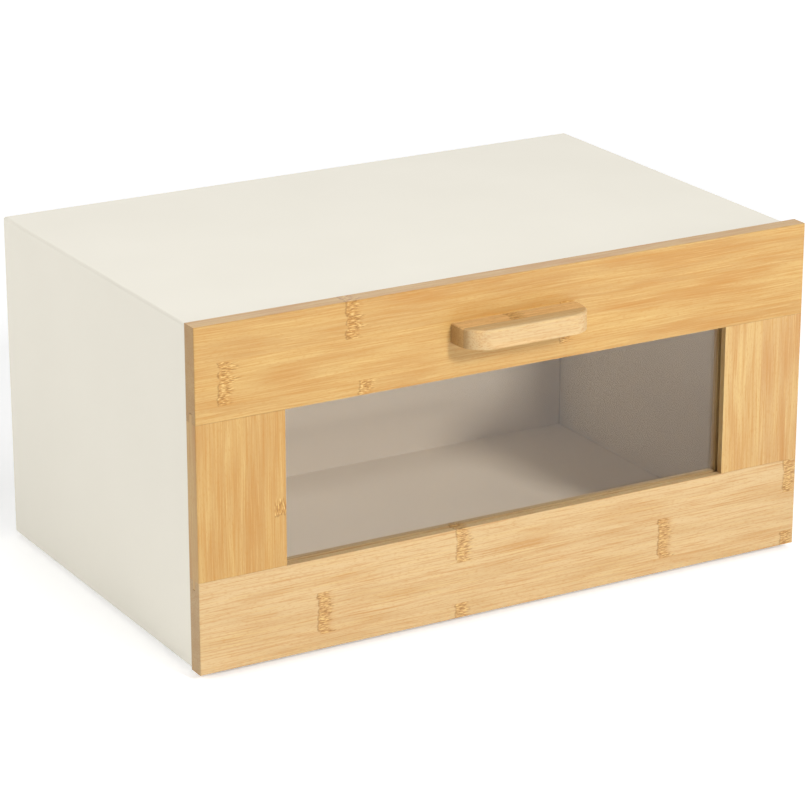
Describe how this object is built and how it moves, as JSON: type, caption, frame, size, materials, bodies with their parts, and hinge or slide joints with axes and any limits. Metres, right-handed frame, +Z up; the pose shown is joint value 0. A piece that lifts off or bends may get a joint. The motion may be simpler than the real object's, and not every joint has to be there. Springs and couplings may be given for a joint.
{
  "type": "bread box with drawer",
  "caption": "Free-standing steel bread box with a pull-out drawer behind a bamboo frame front, clear window and bar handle.",
  "frame": {"origin": "on the table, under the middle of the object's outer box", "axes": "+X to the right seen from the front, the front and its handle face -Y, +Z up"},
  "size_m": [0.36, 0.2528, 0.184],
  "materials": {
    "cream_coating": "fine matt powder coating",
    "bamboo": "natural laminated bamboo, satin lacquer",
    "clear_pane": "clear, polished",
    "white_nylon": "moulded, smooth",
    "foot_rubber": "matt",
    "pad_rubber": "soft, matt",
    "screw_steel": "zinc-plated",
    "rivet_metal": "plain"
  },
  "bodies": {
    "cabinet": {"cabinet_shell": "cream_coating", "base_panel": "cream_coating", "back_panel": "cream_coating", "back_rivets": "rivet_metal", "runner_left": "white_nylon", "runner_right": "white_nylon", "foot_front_left": "foot_rubber", "foot_front_right": "foot_rubber", "foot_rear_left": "foot_rubber", "foot_rear_right": "foot_rubber"},
    "drawer": {"tray_floor": "cream_coating", "tray_side_left": "cream_coating", "tray_side_right": "cream_coating", "drawer_stop_left": "white_nylon", "drawer_stop_right": "white_nylon", "top_rail": "bamboo", "bottom_rail": "bamboo", "stile_left": "bamboo", "stile_right": "bamboo", "window_pane": "clear_pane", "handle": "bamboo", "handle_screws": "screw_steel", "front_screws": "screw_steel", "pad_top_left": "pad_rubber", "pad_top_right": "pad_rubber", "pad_bottom_left": "pad_rubber", "pad_bottom_right": "pad_rubber"}
  },
  "joints": [
    {"name": "drawer_slide", "type": "slide", "parent": "cabinet", "child": "drawer", "axis": [0, -1, 0], "range_m": [0, 0.165]}
  ]
}
